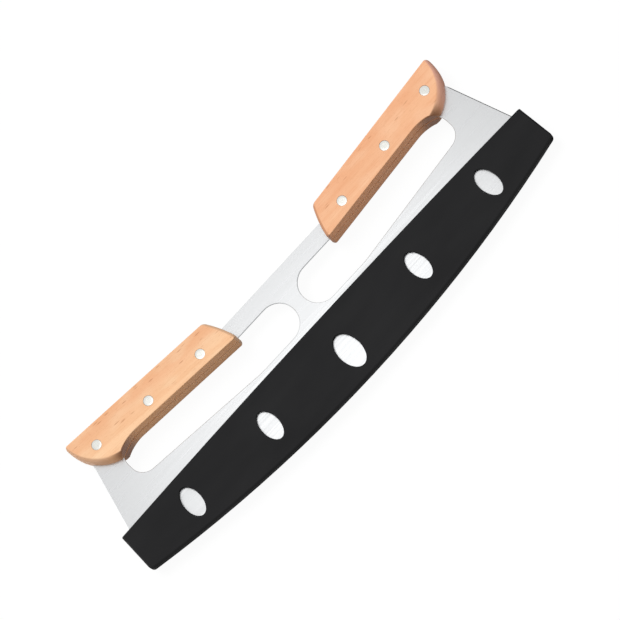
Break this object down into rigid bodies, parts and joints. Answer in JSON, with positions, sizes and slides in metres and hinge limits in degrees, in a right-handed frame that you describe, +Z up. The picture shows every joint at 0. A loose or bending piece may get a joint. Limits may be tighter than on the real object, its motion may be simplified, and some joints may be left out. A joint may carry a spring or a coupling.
{
  "type": "rocking pizza knife",
  "caption": "Rocking pizza knife: curved steel blade with finger slots, riveted wooden handles and a slide-off blade guard.",
  "frame": {"origin": "middle of the underside of the whole knife as it lies flat, under the middle of its outline", "axes": "+X along the knife, +Y from the cutting edge towards the handles, +Z up through its thickness"},
  "size_m": [0.3606, 0.1108, 0.019],
  "materials": {
    "blade_steel": "fine satin ground stainless steel",
    "handle_wood": "sanded and lightly oiled pale hardwood with short fine pores",
    "rivet_steel": "rivet heads ground flat and buffed",
    "guard_plastic": "moulded black plastic with a fine matt texture"
  },
  "bodies": {
    "knife": {"blade": "blade_steel", "left_front_scale": "handle_wood", "left_back_scale": "handle_wood", "right_front_scale": "handle_wood", "right_back_scale": "handle_wood", "left_inner_rivet_stud": "rivet_steel", "left_inner_rivet_socket": "rivet_steel", "left_middle_rivet_stud": "rivet_steel", "left_middle_rivet_socket": "rivet_steel", "left_outer_rivet_stud": "rivet_steel", "left_outer_rivet_socket": "rivet_steel", "right_inner_rivet_stud": "rivet_steel", "right_inner_rivet_socket": "rivet_steel", "right_middle_rivet_stud": "rivet_steel", "right_middle_rivet_socket": "rivet_steel", "right_outer_rivet_stud": "rivet_steel", "right_outer_rivet_socket": "rivet_steel"},
    "guard": {"blade_guard": "guard_plastic"}
  },
  "joints": [
    {"name": "guard_slide", "type": "slide", "parent": "knife", "child": "guard", "axis": [0, -1, 0], "range_m": [0, 0.06]}
  ]
}
